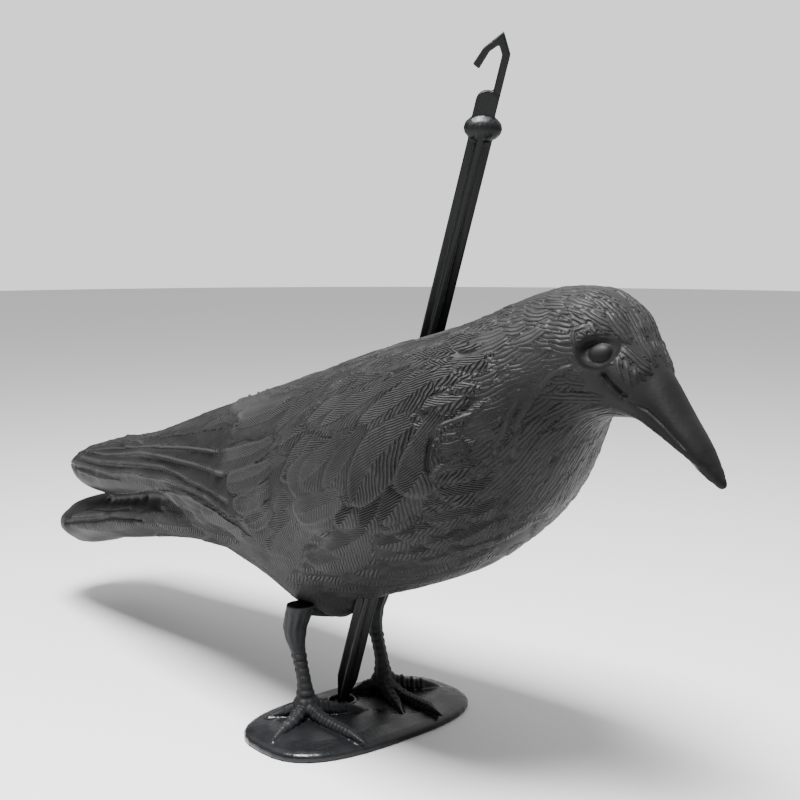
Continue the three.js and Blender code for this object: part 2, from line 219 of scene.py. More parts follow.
def turn_of(points):
    """How far round the girth each point is, in degrees."""
    back, belly, widest, half = girth_at(points[:, 0])
    height = points[:, 2] - widest
    rise = height / np.where(height > 0, back - widest, widest - belly)
    return np.degrees(np.arctan2(rise, np.abs(points[:, 1]) / half))


def face_values(mesh, values, attribute):
    """One vector of every face, as rows of x, y and z."""
    rows = np.empty(len(mesh.polygons) * 3, np.float32)
    values.foreach_get(attribute, rows)
    return rows.reshape(-1, 3).astype(float)


# The head, the mantle, the folded wings and the cleft between wing tips and tail are cut finest, so
# the faces there are small.
FINE_FROM = -205
FINE_TURNS = (-22, 46)
FINE_ABOVE = 50
MANTLE_FROM = -25
HEAD_FROM = 108
CLEFT_FINE = (-215, -105)
CLEFT_LEVEL = 59
CLEFT_HALF_HEIGHT = 13
CLEFT_SIDE = 14
REFINE_ROUNDS = 8
middles = face_values(skin, skin.polygons, "center") / MM
x, y, z = middles.T
turns = turn_of(middles)
fine = (x > FINE_FROM) & (turns > FINE_TURNS[0]) & (turns < FINE_TURNS[1]) & (z > FINE_ABOVE)
fine |= (x > MANTLE_FROM) & (turns > FINE_TURNS[0])
fine |= x > HEAD_FROM
by_cleft = (x > CLEFT_FINE[0]) & (x < CLEFT_FINE[1]) & (np.abs(y) > CLEFT_SIDE)
fine |= by_cleft & (np.abs(z - CLEFT_LEVEL) < CLEFT_HALF_HEIGHT)
refine(skin, fine, REFINE_ROUNDS)

# The bill and the ends of wing tips and tail are held to the solid's form once more. The cleft and
# the top of the wing tips, where the solid's facets would show, are smoothed further.
BILL_FROM = 146
ENDS_FROM = -205
ENDS_FADE = 8
ENDS_ROUNDS = 5
ENDS_PASSES = 3
CLEFT_EASED = (-200, -70)
CLEFT_REACH = 8
CLEFT_FADE = 4
CLEFT_ROUNDS = 50
WING_TOP_TURN = 20
WING_TOP_RISE = 20
WING_TOP_TO = -100
WING_TOP_FADE = 25
WING_TOP_ROUNDS = 160


def at_ends(points):
    """How far each point is on the bill or at the bird's far end, from 0 to 1."""
    past = np.maximum(points[:, 0] - BILL_FROM, ENDS_FROM - points[:, 0])
    return rising(past, 0, ENDS_FADE)


for turn in range(ENDS_PASSES):
    hold_form(skin, solid_body, ENDS_ROUNDS, at_ends)
points = corner_points(skin) / MM
x, y, z = points.T
from_cleft = np.abs(z - np.interp(x, *zip(*WING_TIP_UNDERSIDE)))
in_cleft = (x > CLEFT_EASED[0]) & (x < CLEFT_EASED[1]) & (np.abs(y) > CLEFT_SIDE)
in_cleft = in_cleft * falling(from_cleft, CLEFT_REACH, CLEFT_FADE)
relax(skin, CLEFT_ROUNDS, in_cleft[:, None])
wing_top = rising(turn_of(points), WING_TOP_TURN, WING_TOP_RISE)
wing_top *= falling(x, WING_TOP_TO, WING_TOP_FADE)
relax(skin, WING_TOP_ROUNDS, wing_top[:, None])

# Round the eye the faces are smaller still.
EYE_PLACE = (136.2, 15.3, 164.2)
EYE_ZONE = 15
EYE_ZONE_MIDDLE = (138.5, 15.5, 161.5)
EYE_ROUNDS = 2
middles = face_values(skin, skin.polygons, "center") / MM
middles[:, 1] = np.abs(middles[:, 1])
refine(skin, np.linalg.norm(middles - EYE_ZONE_MIDDLE, axis=1) < EYE_ZONE, EYE_ROUNDS)

# The relief is drawn on one side and stands on both, so the shell's points are folded together. It
# is gathered at the vertices, for the form, and at the faces, for the plan of the barbs.
SAME_WAY = 0.35
NO_FEATHER = -1


class Surface:
    """Points of the shell folded onto the bird's left side, with the relief gathered on them."""

    def __init__(self, points, normals):
        fold = np.ones_like(points)
        fold[points[:, 1] < 0, 1] = -1
        self.points = points * fold
        self.normals = normals * fold
        self.order = np.argsort(self.points[:, 0])
        self.sorted_x = self.points[self.order, 0]
        self.relief = np.zeros(len(points))
        self.swelling = np.zeros(len(points))
        self.barbs = np.zeros(len(points))
        self.ridge = np.zeros(len(points))
        self.comb = np.zeros(len(points))
        self.owner = np.full(len(points), NO_FEATHER)

    def near(self, start, normal, reach):
        """The points round a place that face the same way as the shell does there."""
        low, high = np.searchsorted(self.sorted_x, (start[0] - reach, start[0] + reach))
        found = self.order[low:high]
        offset = self.points[found] - start
        chosen = np.einsum("ij,ij->i", offset, offset) < reach * reach
        chosen &= self.normals[found] @ normal > SAME_WAY
        return found[chosen]


shell = Surface(corner_points(skin) / MM, normals_of(skin))
middles = face_values(skin, skin.polygons, "center") / MM
tiles = Surface(middles, face_values(skin, skin.polygon_normals, "vector"))
surfaces = (shell, tiles)

shell_tree = KDTree(len(shell.points))
for index, point in enumerate(shell.points):
    shell_tree.insert(point, index)
shell_tree.balance()
NEARNESS = 20


def on_shell(x, turn, height=None):
    """The shell's point at a place on the bird, and its normal there; on the tail, at a height."""
    if height is not None:
        beside = np.abs(shell.points[:, 0] - x) / 2 + np.abs(shell.points[:, 2] - height)
        index = np.argmax(shell.points[:, 1] - NEARNESS * beside)
        return shell.points[index], shell.normals[index]
    back, belly, widest, half = girth_at(x)
    rise, reach = math.sin(math.radians(turn)), math.cos(math.radians(turn))
    height = widest + rise * ((back - widest) if rise > 0 else (widest - belly))
    index = shell_tree.find((x, half * reach, height))[1]
    return shell.points[index], shell.normals[index]


# Every feather and lock has a frame on the shell: where its root is, the ways along and across it,
# and its length, how far its middle line bends down, and the pitch of its barbs.
BARB_PITCH = 1.7
BEND_REACH = (-0.3, 1.3)
frames = []


def add_frame(root, tip, bend=0.0, pitch=BARB_PITCH):
    """Makes the frame of a feather from its root and its tip, and returns its number."""
    start, start_normal = on_shell(*root)
    end, end_normal = on_shell(*tip)
    normal = start_normal + end_normal
    normal /= np.linalg.norm(normal)
    run = end - start
    run -= normal * (run @ normal)
    length = np.linalg.norm(run)
    run /= length
    across = np.cross(run, normal)
    if across[2] > 0:
        across = -across
    frames.append((start, run, across, normal, (length, bend, pitch)))
    return len(frames) - 1


def laid_out(points, start, run, across, sizes):
    """How far along and across a feather each point is, its middle line made straight."""
    offset = points - start
    along = np.sum(offset * run, axis=-1)
    share = np.clip(along / sizes[..., 0], *BEND_REACH)
    sideways = np.sum(offset * across, axis=-1) - sizes[..., 1] * 4 * share * (1 - share)
    return along, sideways


def local_of(surface, number, reach):
    """The surface's points near a feather: which they are, and how far along and across it."""
    start, run, across, normal, sizes = frames[number]
    near = surface.near(start + run * sizes[0] / 2, normal, sizes[0] / 2 + reach)
    along, sideways = laid_out(surface.points[near], start, run, across, np.array(sizes))
    return near, along, sideways


OUTLINE_RAMP = 0.7
RIM_WIDTH = 0.6
SHAFT_WIDTH = 0.6
SHAFT_SHARE = 0.3
DITCH_SHARE = 0.45
ROOT_LIFT = 0.1
ROOT_FADE = 2.0
ROOT_WIDTH = 0.6
WIDENING = 0.9
LEAST_WIDTH = 0.3
VANE_FADE = 1.2
RIDGE_SHARE = 0.5
FEATHER_MARGIN = 2


def feather(root, tip, width, lift, barbs, bend, pitch, point, rim=0.4, tip_from=0.45):
    """A feather that lies over those behind it, from its root to its raised tip."""
    number = add_frame(root, tip, bend, pitch)
    length = frames[number][4][0]
    half = width / 2
    for surface in surfaces:
        near, along, across = local_of(surface, number, half + abs(bend) + FEATHER_MARGIN)
        share = along / length
        taper = np.clip((share - tip_from) / (1 - tip_from), 0, None)
        side = np.abs(across) / (half * np.clip(ROOT_WIDTH + WIDENING * share, LEAST_WIDTH, 1))
        outline = (taper ** point + side ** point) ** (1 / point)
        inward = (1 - outline) * half
        cover = np.clip(inward / OUTLINE_RAMP + 0.5, 0, 1) * rising(along, 0, ROOT_FADE)
        form = lift * (ROOT_LIFT + (1 - ROOT_LIFT) * np.clip(share, 0, 1))
        form = form + rim * lift * np.exp(-((inward - RIM_WIDTH) / RIM_WIDTH) ** 2)
        form = form + SHAFT_SHARE * lift * np.exp(-(across / SHAFT_WIDTH) ** 2)
        ditch = DITCH_SHARE * lift * np.exp(-((inward + RIM_WIDTH) / RIM_WIDTH) ** 2) * (along > 0)
        surface.relief[near] = surface.relief[near] * (1 - cover) + form * cover - ditch
        vane = cover * rising(inward, 0, VANE_FADE)
        surface.barbs[near] = surface.barbs[near] * (1 - cover) + barbs * vane
        surface.ridge[near] = surface.ridge[near] * (1 - cover) + RIDGE_SHARE * barbs * vane
        surface.comb[near] *= 1 - cover
        surface.owner[near[cover > 0.5]] = number


LOCK_ROOT = 5
LOCK_TIP = 2.5
LOCK_POINT = 0.2
LOCK_ROOT_LIFT = 0.3
LEAST_COMB = 0.3
LOCK_MARGIN = 1


def lock(root, tip, width, lift, bend, comb=1.0):
    """A raised lock of feather, combed along its length, that tapers at both ends."""
    number = add_frame(root, tip, bend)
    length = frames[number][4][0]
    for surface in surfaces:
        near, along, across = local_of(surface, number, width + abs(bend) + LOCK_MARGIN)
        share = along / length
        ends = np.clip(LOCK_ROOT * share, 0, 1) * np.clip(LOCK_TIP * (1 - share), 0, 1)
        half = width * (LOCK_POINT + (1 - LOCK_POINT) * ends)
        inside = (np.abs(across) < half) & (share > 0) & (share < 1)
        across, ends, share, near = across[inside], ends[inside], share[inside], near[inside]
        crown = 1 - (across / half[inside]) ** 4
        surface.relief[near] = lift * (LOCK_ROOT_LIFT + (1 - LOCK_ROOT_LIFT) * share) * ends * crown
        surface.barbs[near] = 0
        surface.ridge[near] = 0
        surface.comb[near] = comb * np.clip(LEAST_COMB + ends, 0, 1)
        surface.owner[near] = number


LINE_WIDTH = 0.8
LINE_FADE = 2.5
LINE_REACH = 1.1
LINE_MARGIN = 4
FAR_OFF = 9.0


def line(places, lift, ridge, width=LINE_WIDTH, fade=LINE_FADE, reach=LINE_REACH):
    """A raised line, or with a negative lift and ridge a groove, along a run of places."""
    numbers = [add_frame(root, tip) for root, tip in zip(places, places[1:])]
    total = sum(frames[number][4][0] for number in numbers)
    for surface in surfaces:
        height = np.zeros(len(surface.points))
        closest = np.full(len(surface.points), FAR_OFF)
        travelled = 0.0
        for number in numbers:
            length = frames[number][4][0]
            near, along, across = local_of(surface, number, LINE_MARGIN)
            on_line = np.clip(along, 0, length)
            away = np.hypot(across, along - on_line)
            ends = np.clip(np.minimum(travelled + on_line, total - travelled - on_line) / fade, 0, 1)
            height[near] = np.maximum(height[near], ends * np.exp(-(away / width) ** 2))
            mine = (away < reach) & (away < closest[near])
            owned = near[mine]
            surface.barbs[owned] = 0
            surface.comb[owned] = 0
            surface.ridge[owned] = ridge * ends[mine]
            surface.owner[owned] = number
            closest[near] = np.minimum(closest[near], away)
            travelled += length
        surface.relief += lift * height


# Plumage is laid in staggered rows, each feather or lock a little off its place and its size.
JITTER = 0.2
FEATHER_SIZES = (0.8, 1.2)
FEATHER_BENDS = (-1.2, 1.2)
LOCK_SIZES = (0.75, 1.25)
LOCK_LIFTS = (0.7, 1.1)
LOCK_BENDS = (0.3, 1.5)
rng = random.Random(11)


def plumage_rows(x_range, turn_range, row, column, draw):
    """Walks a patch of the bird from tail to bill in staggered rows, and draws at each place."""
    odd = False
    x = x_range[0]
    while x < x_range[1]:
        step = math.degrees(column / radius_at(x))
        turn = turn_range[0] + (step / 2 if odd else 0)
        while turn < turn_range[1]:
            draw(x + rng.uniform(-JITTER, JITTER) * row, turn + rng.uniform(-JITTER, JITTER) * step)
            turn += step
        odd = not odd
        x += row


def behind(x, turn, length, tilt):
    """The place a length aft of another, tilted up round the girth by some degrees of slope."""
    slope = math.radians(tilt)
    return (x - length * math.cos(slope), turn + math.degrees(length * math.sin(slope) / radius_at(x)))


def body_feather(length, width, lift, barbs, tilt, pitch, point, sway=10):
    """Makes the drawer for a patch of like feathers."""
    def draw(x, turn):
        size = rng.uniform(*FEATHER_SIZES)
        tip = behind(x, turn, length * size, tilt + rng.uniform(-sway, sway))
        bend = rng.uniform(*FEATHER_BENDS)
        feather((x, turn), tip, width * size, lift, barbs, bend, pitch * size, point)
    return draw


def body_lock(length, width, lift, tilt, bend, sway=8, comb=1.0):
    """Makes the drawer for a patch of like locks."""
    def draw(x, turn):
        size = rng.uniform(*LOCK_SIZES)
        tip = behind(x, turn, length * size, tilt + rng.uniform(-sway, sway))
        rise = lift * rng.uniform(*LOCK_LIFTS)
        lock((x, turn), tip, width, rise, bend * rng.uniform(*LOCK_BENDS), comb)
    return draw


# Each patch is given by its reach along the bird and round it, the steps from row to row and within
# a row, and its feathers' length, width, lift, barbs, tilt, pitch, point and sway.
# Belly, flank and breast: low soft tufts, cut deeper towards the throat.
plumage_rows((-68, 30), (-80, -50), 13, 9, body_feather(24, 10, 0.2, 0.15, 6, 1.9, 1.5))
plumage_rows((-68, 30), (-50, -24), 13, 9, body_feather(24, 10, 0.2, 0.35, 6, 1.9, 1.5))
plumage_rows((30, 84), (-86, -22), 13, 9, body_feather(26, 11, 0.18, 0.6, 12, 2.0, 1.5))
plumage_rows((84, 118), (-86, -18), 8, 8, body_feather(17, 9, 0.3, 1.4, 34, 2.1, 1.6, 14))
# Back, wing and mantle: rows of barbed feathers, the wing's large and smooth.
plumage_rows((-135, 30), (24, 90), 16, 13, body_feather(31, 13, 0.25, 0.9, -4, 1.6, 1.7))
plumage_rows((-20, 64), (-22, 24), 19, 16, body_feather(36, 16, 0.18, 0.3, -24, 1.9, 2.0))
plumage_rows((30, 84), (14, 90), 12, 10, body_feather(24, 12, 0.4, 1.7, -13, 2.5, 1.7))
plumage_rows((62, 90), (-24, 16), 12, 11, body_feather(22, 12, 0.35, 1.2, -22, 2.5, 1.7))
plumage_rows((86, 114), (-22, 90), 7, 7, body_feather(14, 8, 0.45, 2.0, 8, 2.6, 1.6, 24))

# The feathers that stand out: over the back, down the shoulder, on the wing and under it. Each is
# given by its root, tip, width, lift, barbs, bend, pitch, point, and some by rim and tip's start.
SINGLE_FEATHERS = (
    ((-18, 60), (-56, 57), 12, 0.7, 0.2, 1.0, 1.6, 2.4, 2.2, 0.6),
    ((-4, 54), (-40, 49), 12, 0.7, 0.1, 1.0, 1.6, 3.0, 2.2, 0.8),
    ((2, 43), (-42, 37), 12, 0.4, 1.1, 2.0, 1.5, 1.8),
    ((26, 45), (0, 27), 16, 0.45, 1.5, 1.0, 2.1, 1.8),
    ((48, 36), (24, 27), 13, 0.35, 1.0, 1.0, 2.3, 1.8),
    ((66, 34), (35, 24), 14, 0.4, 1.4, 1.5, 2.4, 1.8),
    ((88, 29), (59, 18), 15, 0.5, 1.9, 2.0, 2.6, 1.8),
    ((46, 9), (19, 0), 17, 0.35, 0.3, 1.5, 1.8, 2.6, 0.9),
    ((52, 15), (27, -1), 15, 0.3, 0.6, 1.5, 2.3, 2.2),
    ((64, 16), (43, -5), 15, 0.3, 0.9, 1.5, 2.5, 2.0),
    ((86, 9), (57, -14), 18, 0.5, 1.8, -2.5, 2.7, 1.8),
    ((52, -8), (21, -12), 11, 0.35, 0.25, 1.0, 1.8, 3.0, 0.9, 0.7),
    ((54, -37), (13, -41), 15, 0.4, 0.5, 1.0, 2.0, 3.0, 0.9, 0.75),
    ((60, -29), (32, -34), 11, 0.3, 0.4, 1.0, 2.0, 2.4, 0.8, 0.7),
    ((18, -15), (-10, -27), 16, 0.3, 0.6, -1.5, 1.7, 1.6),
    ((-2, -13), (-30, -24), 14, 0.3, 0.6, -1.5, 1.7, 1.6),
    ((94, 8), (79, -20), 17, 0.5, 1.2, 2.5, 2.2, 2.4),
)
for row in SINGLE_FEATHERS:
    feather(*row)

# Leaf-shaped tufts on the side of the breast, lying up and back, and those under the throat.
BREAST_TUFTS = (
    ((97, -62), (82, -56), 11, 0.35, 1.3, 1.5, 2.1, 1.6),
    ((95, -47), (82, -37), 10, 0.35, 1.2, 1.5, 2.1, 1.6),
    ((106, -57), (92, -50), 11, 0.4, 1.4, 1.5, 2.1, 1.6),
    ((114, -66), (99, -63), 10, 0.4, 1.3, 1.5, 2.0, 1.6),
    ((103, -43), (89, -28), 13, 0.45, 1.6, 1.5, 2.3, 1.6),
    ((104, -34), (89, -19), 12, 0.5, 1.6, -1.5, 2.3, 1.6),
    ((118, -54), (104, -50), 10, 0.4, 1.4, 1.5, 2.0, 1.6),
    ((117, -42), (104, -38), 9, 0.4, 1.4, 1.5, 2.0, 1.6),
)
for row in BREAST_TUFTS:
    feather(*row)

# Four strokes at the shoulder, by root, tip, width, lift and bend, and the loops round them, by
# their places, lift and ridge.
SHOULDER_STROKES = (
    ((102, -6), (92, -2), 1.5, 0.35, 0.8),
    ((99, -10), (91.5, -5), 1.5, 0.35, 0.8),
    ((100, -14), (91.5, -9), 1.5, 0.35, 0.8),
    ((99, -18), (93, -15), 1.4, 0.35, 0.6),
)
for row in SHOULDER_STROKES:
    lock(*row)
line(((92, 2.5), (95, 3), (99, 2), (102, -1), (104, -4)), 0.25, 1.0)
line(((108, -27), (103, -21)), 0.5, 1.2)
line(((103.5, -20), (105, -14), (109, -12)), 0.45, 1.2)

# Neck, crown and throat: combed locks that follow the flow from the bill. Each patch is given as the
# feathers' are, by its locks' length, width, lift, tilt, bend, sway and comb.
plumage_rows((108, 135), (-28, 42), 5, 3.6, body_lock(9, 2.0, 0.15, 18, 1.0, 18, 0.7))
plumage_rows((106, 122), (36, 88), 6, 4.6, body_lock(11, 2.4, 0.45, 12, 1.4, 18, 0.9))
plumage_rows((118, 136), (34, 88), 5.5, 4.2, body_lock(10, 2.4, 0.7, 6, 1.6, 16, 1.1))
plumage_rows((132, 156), (24, 88), 6, 3.6, body_lock(12, 2.2, 0.6, 0, 1.0, 9, 1.4))
plumage_rows((114, 145), (-88, -26), 8, 4.6, body_lock(19, 2.6, 0.5, 2, 1.2, 9))

# The coverts' round tips, one below the other, where the long quills of the folded wing begin.
COVERT_TIPS = (
    ((0, 24), (-43, 18), 10.5, 0.5, 0.5, 1.5, 2.0, 3.0, 1.2, 0.8),
    ((5, 12), (-31, 6.5), 9.5, 0.5, 0.5, 1.5, 2.0, 2.6, 1.2, 0.75),
    ((5, 2), (-25, -4), 8.5, 0.5, 0.5, 1.5, 2.0, 2.4, 1.2, 0.7),
    ((5, -6), (-18, -12), 8, 0.5, 0.5, 1.5, 2.0, 2.4, 1.2, 0.7),
)
for row in COVERT_TIPS:
    feather(*row)

# The folded wing's quills: each is a band that swells down to its lower edge and steps down there.
# The edges are given by their heights at places along the bird, from the coverts to the wing tip.
QUILL_EDGES = (
    ((-34, 122), (-60, 116.4), (-90, 110), (-110, 106.6), (-140, 100)),
    ((-40, 110.4), (-60, 108.3), (-72, 107.2), (-90, 105), (-105, 103), (-140, 97)),
    ((-33, 103), (-55, 103), (-70, 102.6), (-88, 101.8), (-110, 99.4), (-130, 95.7), (-160, 90.5),
     (-190, 87)),
    ((-28, 92.6), (-42, 95.3), (-70, 97.2), (-85, 97.4), (-110, 95), (-130, 91.7), (-160, 87.5),
     (-195, 84)),
    ((-25, 86.7), (-45, 91.9), (-60, 93), (-80, 93.4), (-110, 91), (-140, 86.4), (-180, 82.6),
     (-203, 80)),
    ((-18, 78.7), (-25, 81.7), (-40, 86.5), (-60, 88.8), (-76, 88.6), (-108, 83), (-130, 78),
     (-150, 73), (-165, 68), (-200, 64)),
)
QUILL_BARBS = (1.6, 1.1, 0.6, 0.5)
QUILL_SWELL = 1.0
LAST_SWELL = 0.5
LAST_BARBS = 0.6
QUILL_STEP = 0.9
QUILL_START_FADE = 6
QUILL_ROOT_LIFT = 0.1
QUILL_CURVE = 1.6
QUILL_SETBACK = 1
LEAST_BAND = 1
WING_END = -212
WING_END_FADE = 10
SMOOTH_TO = -130
SMOOTH_FADE = 50
ON_WING = -2


def edge_height(edge, x):
    """How high an edge of the quills runs at places along the bird."""
    return np.interp(-x, *zip(*((-place, height) for place, height in edge)))


def quill_band(upper, lower, barbs, swell):
    """Swells the wing between two edges, and makes the lower one a step."""
    start = max(upper[0][0], lower[0][0]) - QUILL_SETBACK
    for surface in surfaces:
        x, z = surface.points[:, 0], surface.points[:, 2]
        above, below = edge_height(upper, x), edge_height(lower, x)
        deep = np.clip((above - z) / np.clip(above - below, LEAST_BAND, None), 0, 1)
        fade = falling(x, start, QUILL_START_FADE) * rising(x, WING_END, WING_END_FADE) * (z < above)
        cover = np.clip((z - below) / QUILL_STEP + 0.5, 0, 1) * fade
        band = swell * (QUILL_ROOT_LIFT + (1 - QUILL_ROOT_LIFT) * deep ** QUILL_CURVE) * cover
        surface.relief = surface.relief * (1 - cover) + band
        surface.swelling = surface.swelling * (1 - cover) + band
        inside = (fade > 0) & (z > below)
        surface.barbs[inside] = (barbs * rising(x, SMOOTH_TO, SMOOTH_FADE) * fade)[inside]
        surface.ridge[inside] = 0
        surface.comb[inside] = 0
        surface.owner[inside] = ON_WING


# Under the wing and along the tail's side: barbed feathers, their ends given by height.
UNDER_WING = (
    ((-112, None, 68), (-200, None, 51), 13, 0.15, 0.6, 0, 1.7, 2.0, 0.2),
    ((-96, None, 62), (-128, None, 56), 12, 0.3, 1.1, 0, 1.6, 1.6),
    ((-86, None, 72), (-124, None, 66), 12, 0.35, 1.3, 1.0, 1.6, 1.6),
    ((-72, None, 62), (-102, None, 56), 13, 0.3, 1.2, 1.0, 1.6, 1.6),
    ((-66, None, 74), (-104, None, 69), 14, 0.4, 1.4, 1.0, 1.7, 1.6),
    ((-48, None, 68), (-84, None, 62), 14, 0.35, 1.2, 1.0, 1.7, 1.6),
    ((-62, None, 80), (-100, None, 77), 9, 0.3, 1.4, 0, 1.7, 1.6),
    ((-34, None, 75), (-74, None, 75), 10, 0.3, 1.4, 0, 1.7, 1.6),
)
for row in UNDER_WING:
    feather(*row)
for upper_edge, lower_edge, barbs in zip(QUILL_EDGES[:-1], QUILL_EDGES[1:-1], QUILL_BARBS):
    quill_band(upper_edge, lower_edge, barbs, QUILL_SWELL)
quill_band(*QUILL_EDGES[-2:], LAST_BARBS, LAST_SWELL)


def level_line(places, *shape):
    """A line or a groove whose places are given by height."""
    line([(x, None, height) for x, height in places], *shape)


# The quills' edges are raised lines, the lowest just above its step. One more runs along the tip.
ABOVE_STEP = 0.8
for edge in QUILL_EDGES[1:-1]:
    level_line(edge, 1.0, 1.4)
level_line([(x, height + ABOVE_STEP) for x, height in QUILL_EDGES[-1][:-2]], 0.7, 1.4)
level_line(((-130, 84.5), (-160, 80.6), (-192, 79)), 0.4, 0.9)

# The quills' ends curl over the tip of the wing.
QUILL_ENDS = (
    ((-202, 20), (-195, 36), (-184, 46), (-165, 50), (-145, 50), (-128, 45), (-118, 38)),
    ((-193, 20), (-187, 33), (-175, 39), (-155, 41), (-138, 38)),
    ((-182, 60), (-162, 66), (-142, 62), (-124, 55), (-112, 48)),
)
for places in QUILL_ENDS:
    line(places, 0.8, 1.4)

# The tail's two grooves and the raised line between them.
level_line(((-190, 58.5), (-180, 60.6), (-155, 64.9), (-141, 68), (-128, 71)), -0.8, -1.2)
level_line(((-209, 48.3), (-190, 53), (-166, 57.7), (-147, 63), (-115, 68)), -0.8, -1.2)
level_line(((-200, 53.5), (-189, 55.7), (-155, 63.5)), 0.5, 1.0)

# Round the eye: the ball stands in an almond-shaped hollow, deepest behind it and under its upper
# edge. The ball and its hollow are painted nearly black, painted shade, as the bill is.
EYE_BALL = 2.8
EYE_BALL_RISE = 1.3
ALMOND_BEHIND = 5.4
ALMOND_AHEAD = 3.6
ALMOND_HALF_HEIGHT = 4.2
ALMOND_BLUNT = 2.6
ALMOND_POINTED = 1.8
SOCKET_DEPTH = 1.2
SOCKET_SHOALING = 0.8
SHOALING_REACH = 3
SOCKET_EDGE = 0.6
LEVEL_SHARE = 0.6
LEAST_SHARE = 0.2
OVERHANG_REACH = 7
EYE_RIM = 0.06
EYE_RIM_AT = 1.25
EYE_RIM_WIDTH = 0.2
CLEAR_WITHIN = 1.4
CLEAR_FADE = 0.5
ALMOND_REACH = 2.0
EYE_REACH = 9
OFF_MIDDLE = 5
# Where the painted shade on the bill begins, and how far it fades in.
SHADE_FROM = 143
SHADE_FADE = 8
for surface in surfaces:
    ahead = surface.points[:, 0] - EYE_PLACE[0]
    up = surface.points[:, 2] - EYE_PLACE[2]
    reach = np.where(ahead < 0, ALMOND_BEHIND, ALMOND_AHEAD)
    power = np.where(ahead < 0, ALMOND_BLUNT, ALMOND_POINTED)
    almond = (np.abs(ahead) / reach) ** power + (np.abs(up) / ALMOND_HALF_HEIGHT) ** 2
    socket = -SOCKET_DEPTH + SOCKET_SHOALING * np.clip(ahead / SHOALING_REACH, -1, 1)
    socket *= falling(almond, 1.0, SOCKET_EDGE)
    socket *= np.clip(LEVEL_SHARE + up / OVERHANG_REACH, LEAST_SHARE, 1)
    rim = EYE_RIM * np.exp(-((almond - EYE_RIM_AT) / EYE_RIM_WIDTH) ** 2)
    ball = EYE_BALL_RISE * np.sqrt(np.clip(1 - (np.hypot(ahead, up) / EYE_BALL) ** 2, 0, 1))
    near = (almond < ALMOND_REACH) & (np.abs(ahead) < EYE_REACH)
    near &= surface.points[:, 1] > OFF_MIDDLE
    clear = rising(almond[near], CLEAR_WITHIN, CLEAR_FADE)
    surface.relief[near] = surface.relief[near] * clear + (socket + rim + ball)[near]
    surface.barbs[near] = 0
    surface.ridge[near] *= clear
    surface.comb[near] *= clear
    # The bill, and the eye's ball and hollow, are marked for painted shade.
    surface.bare = rising(surface.points[:, 0], SHADE_FROM, SHADE_FADE)
    surface.bare[near] = np.maximum(surface.bare[near], 1 - clear)

# The edge of bare skin behind the eye, the gape, the ridges of skin before the eye, and the line
# where the bill closes. Grooves also have their width, fade and reach.
line(((131.4, 32), (128.3, 23), (129.0, 14), (130.6, 4)), 0.3, 0.9)
line(((138.2, 3), (139.0, -1), (140.2, -6), (142, -12), (144.6, -18)), -1.3, -1.2, 1.2, 1, 1.8)
line(((141.4, 27), (142.2, 18), (143, 10), (144, 3)), 0.5, 0.8)
line(((143.6, 32), (144.4, 22), (145.2, 12), (146.2, 4)), 0.4, 0.6)
line(((145.8, 34), (146.6, 25), (147.4, 15)), 0.35, 0.6)
line(((144.4, -19), (147, -16), (150, -12), (155, -10), (160, -8), (164, -7)), -0.4, -1.6, 1.1, 6, 2.2)

# Loose outlines of long feathers on the cheek and the side of the neck.
line(((130, -8), (126, -10), (122, -12.5), (118, -15), (115, -19), (112.5, -23), (111, -27)), 0.4, 1)
line(((113, -12), (110, -15), (108, -20), (106, -24), (105, -29)), 0.4, 1)
line(((112, -28), (110.5, -31), (109, -34), (108, -38)), 0.4, 1)
line(((92, 0), (90.5, -5), (89.5, -10), (89, -15), (90, -19)), -0.7, -1.2)

shifted = corner_points(skin) + normals_of(skin) * shell.relief[:, None] * MM
skin.vertices.foreach_set("co", shifted.ravel())
skin.update()
skin.shade_smooth()

# The plan of the barbs: at every corner of a face, how far it is across and along its feather. On
# bare skin it is far off any shaft. On the folded wing the barbs run down and back from each
# quill's upper edge.
HIGHEST = 200
OFF_SHAFT = 1
corner_vertex = np.empty(len(skin.loops), np.int64)
skin.loops.foreach_get("vertex_index", corner_vertex)
corner_face = np.repeat(np.arange(len(skin.polygons)), [p.loop_total for p in skin.polygons])
owners = tiles.owner[corner_face]
parts = [np.array(part)[np.clip(owners, 0, None)] for part in zip(*frames)]
starts, runs, crossings, _, sizes = parts
along, sideways = laid_out(shell.points[corner_vertex], starts, runs, crossings, sizes)
plan = np.stack([sideways, along * BARB_PITCH / sizes[:, 2]], 1)
plan[owners == NO_FEATHER] = FAR_OFF
on_wing = owners == ON_WING
places = shell.points[corner_vertex[on_wing]]
heights = np.array([edge_height(edge, places[:, 0]) for edge in QUILL_EDGES])
drop = np.where(heights < places[:, 2], HIGHEST, heights).min(axis=0) - places[:, 2]
plan[on_wing] = np.stack([drop + OFF_SHAFT, -places[:, 0]], 1)
skin.uv_layers.new(name="feather_plan").data.foreach_set("uv", plan.astype(np.float32).ravel())
shell_values = {
    "barbs": shell.barbs,
    "ridge": shell.ridge,
    "comb": shell.comb,
    # Painted highlight: how far the relief stands proud, less the quills' swelling, paints the shell paler.
    "highlit_relief": shell.relief - shell.swelling,
    "bare": shell.bare,
}
for name, values in shell_values.items():
    skin.attributes.new(name, "FLOAT", "POINT").data.foreach_set("value", values.astype(np.float32))
